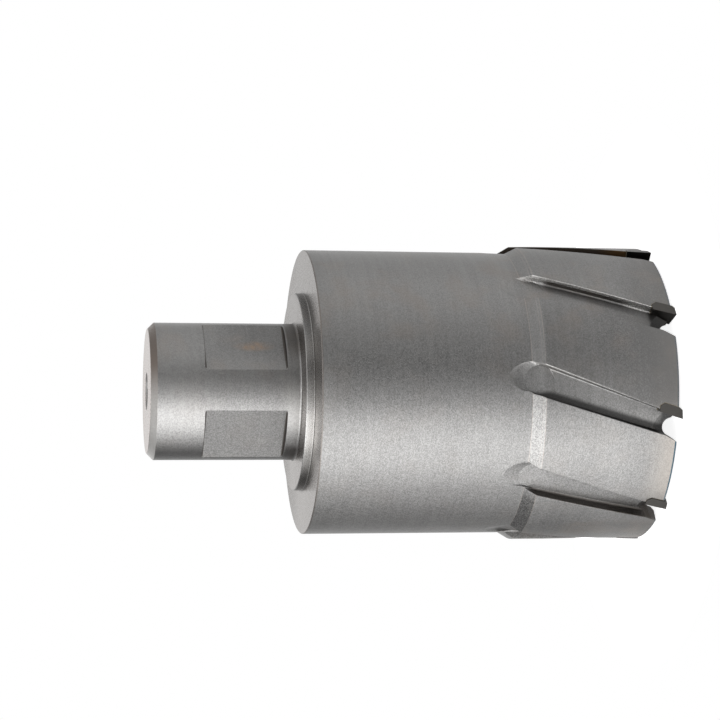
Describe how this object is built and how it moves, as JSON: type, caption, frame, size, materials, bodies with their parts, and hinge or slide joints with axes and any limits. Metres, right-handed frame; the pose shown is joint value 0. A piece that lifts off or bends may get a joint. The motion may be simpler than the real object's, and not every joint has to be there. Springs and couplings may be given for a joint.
{
  "type": "annular cutter",
  "caption": "Cup-shaped hole cutter with a round shank, clamping flats, slanted flutes and brazed carbide teeth on a wider head.",
  "frame": {"origin": "on the cutter's axis, in the plane of the cutting corners that the cutter stands on", "axes": "+Z along the axis from the teeth to the shank's end face; -Y points between the two clamping flats"},
  "size_m": [0.0697, 0.0694, 0.1173],
  "materials": {
    "tool_steel": "satin grey, finely blasted",
    "carbide": "dark grey, ground",
    "silver_solder": "dull, lightly tarnished"
  },
  "bodies": {
    "root": {"cutter_body": "tool_steel", "carbide_tip_1": "carbide", "carbide_tip_2": "carbide", "carbide_tip_3": "carbide", "carbide_tip_4": "carbide", "carbide_tip_5": "carbide", "carbide_tip_6": "carbide", "carbide_tip_7": "carbide", "carbide_tip_8": "carbide", "carbide_tip_9": "carbide", "braze_layer_1": "silver_solder", "braze_layer_2": "silver_solder", "braze_layer_3": "silver_solder", "braze_layer_4": "silver_solder", "braze_layer_5": "silver_solder", "braze_layer_6": "silver_solder", "braze_layer_7": "silver_solder", "braze_layer_8": "silver_solder", "braze_layer_9": "silver_solder"}
  },
  "joints": []
}
